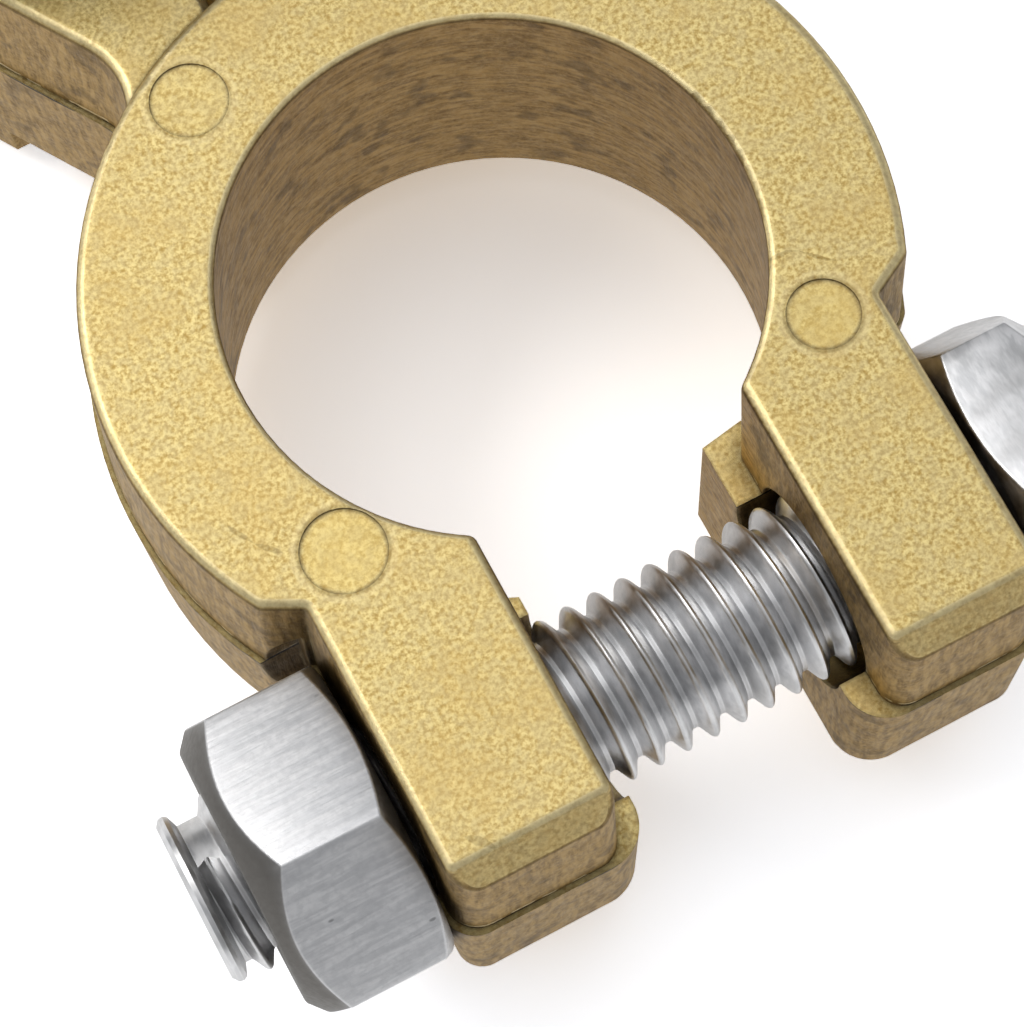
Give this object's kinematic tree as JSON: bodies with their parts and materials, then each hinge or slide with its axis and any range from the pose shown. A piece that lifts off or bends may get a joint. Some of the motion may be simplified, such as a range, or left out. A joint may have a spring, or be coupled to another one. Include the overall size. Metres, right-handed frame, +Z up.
{
  "type": "battery terminal clamp",
  "caption": "Cast brass clamp for a tapered battery post, with a split ring closed by a pinch bolt and a cable trough under a bolted saddle bar.",
  "frame": {"origin": "on the axis of the post bore, at the underside of the ring", "axes": "+Z up along the post bore's axis, +X along the pinch bolt towards its head, +Y from the ears towards the cable"},
  "size_m": [0.0321, 0.0441, 0.0255],
  "materials": {
    "cast_brass": "satin, as cast and tumbled",
    "zinc_bolt": "zinc plated, satin grey",
    "zinc_nut": "zinc plated, bright satin"
  },
  "bodies": {
    "clamp": {"clamp_body": "cast_brass", "saddle_bolt_left": "zinc_bolt", "saddle_bolt_right": "zinc_bolt"},
    "pinch_screw": {"pinch_bolt": "zinc_bolt"},
    "pinch_fastener": {"pinch_nut": "zinc_nut"},
    "saddle": {"saddle_bar": "zinc_nut", "spring_washer_left": "zinc_bolt", "spring_washer_right": "zinc_bolt"},
    "left_fastener": {"saddle_nut_left": "zinc_nut"},
    "right_fastener": {"saddle_nut_right": "zinc_nut"}
  },
  "joints": [
    {"name": "pinch_nut_turn", "type": "hinge", "parent": "clamp", "child": "pinch_fastener", "pos_m": [-0.013, -0.0124, 0.007], "axis": [-1, 0, 0], "range_deg": [0, 1080]},
    {"name": "pinch_bolt_slide", "type": "slide", "parent": "clamp", "child": "pinch_screw", "axis": [1, 0, 0], "range_m": [0, 0.003]},
    {"name": "saddle_lift", "type": "slide", "parent": "clamp", "child": "saddle", "axis": [0, 0, 1], "range_m": [0, 0.003]},
    {"name": "saddle_nut_left_turn", "type": "hinge", "parent": "saddle", "child": "left_fastener", "pos_m": [-0.00695, 0.0207, 0.01874], "axis": [0, 0, 1], "range_deg": [0, 1350]},
    {"name": "saddle_nut_right_turn", "type": "hinge", "parent": "saddle", "child": "right_fastener", "pos_m": [0.00695, 0.0207, 0.01874], "axis": [0, 0, 1], "range_deg": [0, 1350]}
  ],
  "couplings": [
    {"joint": "pinch_nut_turn", "follows": "pinch_bolt_slide", "rad_per_m": 6283.1},
    {"joint": "saddle_nut_left_turn", "follows": "saddle_lift", "rad_per_m": 7853.9},
    {"joint": "saddle_nut_right_turn", "follows": "saddle_lift", "rad_per_m": 7853.9}
  ]
}
